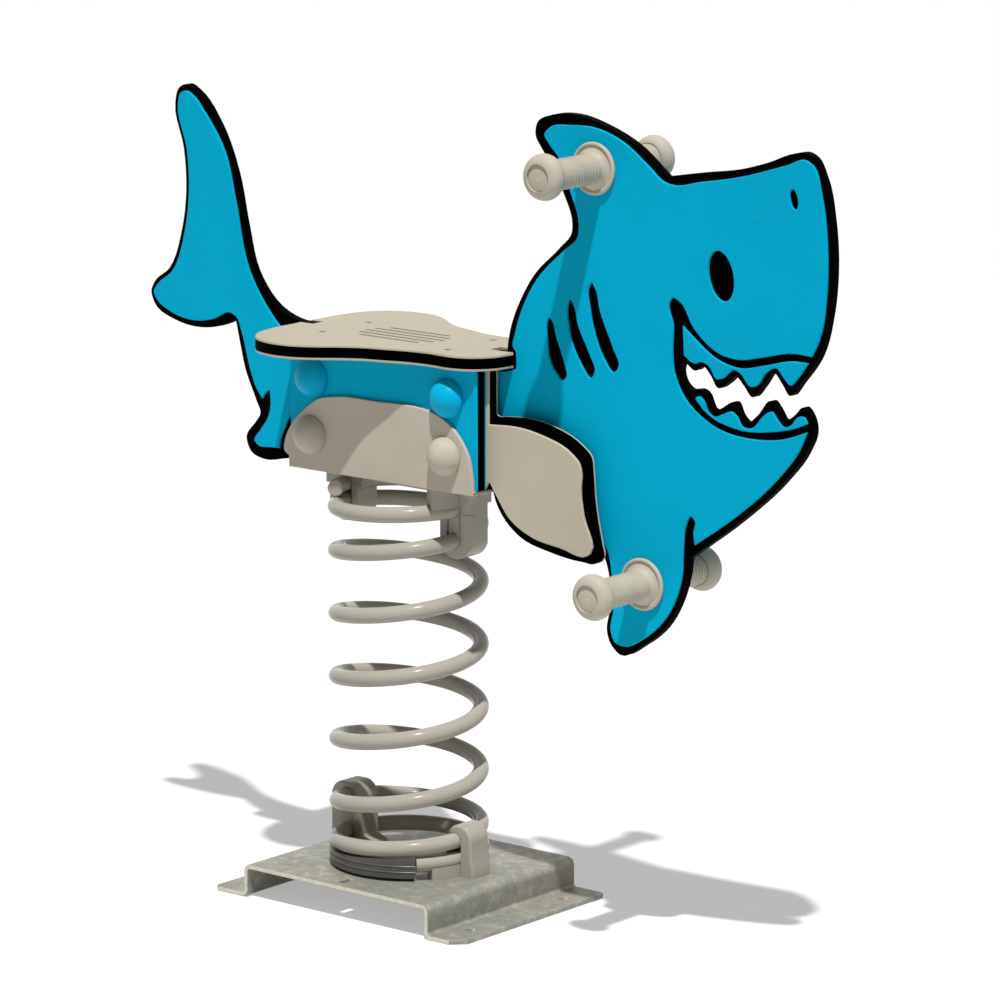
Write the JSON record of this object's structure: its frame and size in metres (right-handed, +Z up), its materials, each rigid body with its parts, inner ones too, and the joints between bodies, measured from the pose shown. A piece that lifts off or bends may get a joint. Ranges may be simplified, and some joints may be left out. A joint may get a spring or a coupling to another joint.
{
  "type": "spring rider",
  "caption": "Playground spring rider: a shark cut from layered sheet with seat, hand and foot grips, bolted in a saddle on a coil spring over a bent base plate.",
  "frame": {"origin": "on the ground under the spring's axis, in the middle of the anchor holes", "axes": "+X forward to the figure's nose, +Y to the rider's left, +Z up"},
  "size_m": [1.074, 0.286, 1.0084],
  "materials": {
    "zinc": "hot-dip galvanised",
    "powder_coat": "glossy powder coat",
    "dark_rubber": "smooth",
    "steel": "zinc plated",
    "blue_sheet": "fine grain",
    "blue_moulded": "smooth",
    "black_sheet": "routed",
    "stone_sheet": "fine grain",
    "stone_moulded": "smooth"
  },
  "bodies": {
    "base": {"base_plate": "zinc", "gap_filler": "dark_rubber", "foot_cradle_front": "powder_coat", "foot_cradle_rear": "powder_coat", "foot_spacer_rear": "powder_coat", "foot_arch_front": "powder_coat", "foot_arch_rear": "powder_coat", "foot_bolts": "steel"},
    "spring": {"spring": "powder_coat"},
    "rider": {"hanger_hook_front": "powder_coat", "hanger_hook_rear": "powder_coat", "hanger_spacer_front": "powder_coat", "hanger_block_front": "powder_coat", "hanger_block_rear": "powder_coat", "hanger_bar": "powder_coat", "saddle": "powder_coat", "body_core": "black_sheet", "fin_core_right": "black_sheet", "fin_core_left": "black_sheet", "side_core_right": "black_sheet", "side_core_left": "black_sheet", "seat_core": "black_sheet", "body_skin_right": "blue_sheet", "body_skin_left": "blue_sheet", "side_face_right": "blue_sheet", "side_back_right": "blue_sheet", "side_face_left": "blue_sheet", "side_back_left": "blue_sheet", "fin_face_right": "stone_sheet", "fin_back_right": "stone_sheet", "fin_face_left": "stone_sheet", "fin_back_left": "stone_sheet", "seat_top": "stone_sheet", "seat_bottom": "stone_sheet", "grey_cap_rings": "stone_moulded", "grey_cap_domes": "stone_moulded", "hand_grip_right": "stone_moulded", "hand_grip_left": "stone_moulded", "hand_grip_plugs": "stone_moulded", "foot_grip_right": "stone_moulded", "foot_grip_left": "stone_moulded", "foot_grip_plugs": "stone_moulded", "blue_cap_rings": "blue_moulded", "blue_cap_domes": "blue_moulded", "hanger_bolts": "steel", "panel_spacers": "steel", "upper_bolts": "steel", "lower_bolts": "steel", "bolt_washers": "steel", "bolt_nuts": "steel", "seat_screws": "steel", "hand_rod": "steel", "foot_rod": "steel"}
  },
  "joints": [
    {"name": "rock_fore_aft", "type": "hinge", "parent": "base", "child": "spring", "pos_m": [0, 0, 0.21], "axis": [0, 1, 0], "range_deg": [-25, 25], "stiffness_Nm_per_rad": 415, "deforming": ["spring"]},
    {"name": "rock_side", "type": "hinge", "parent": "spring", "child": "rider", "pos_m": [0, 0, 0.395], "axis": [1, 0, 0], "range_deg": [-15, 15], "stiffness_Nm_per_rad": 415, "deforming": ["spring"]}
  ]
}
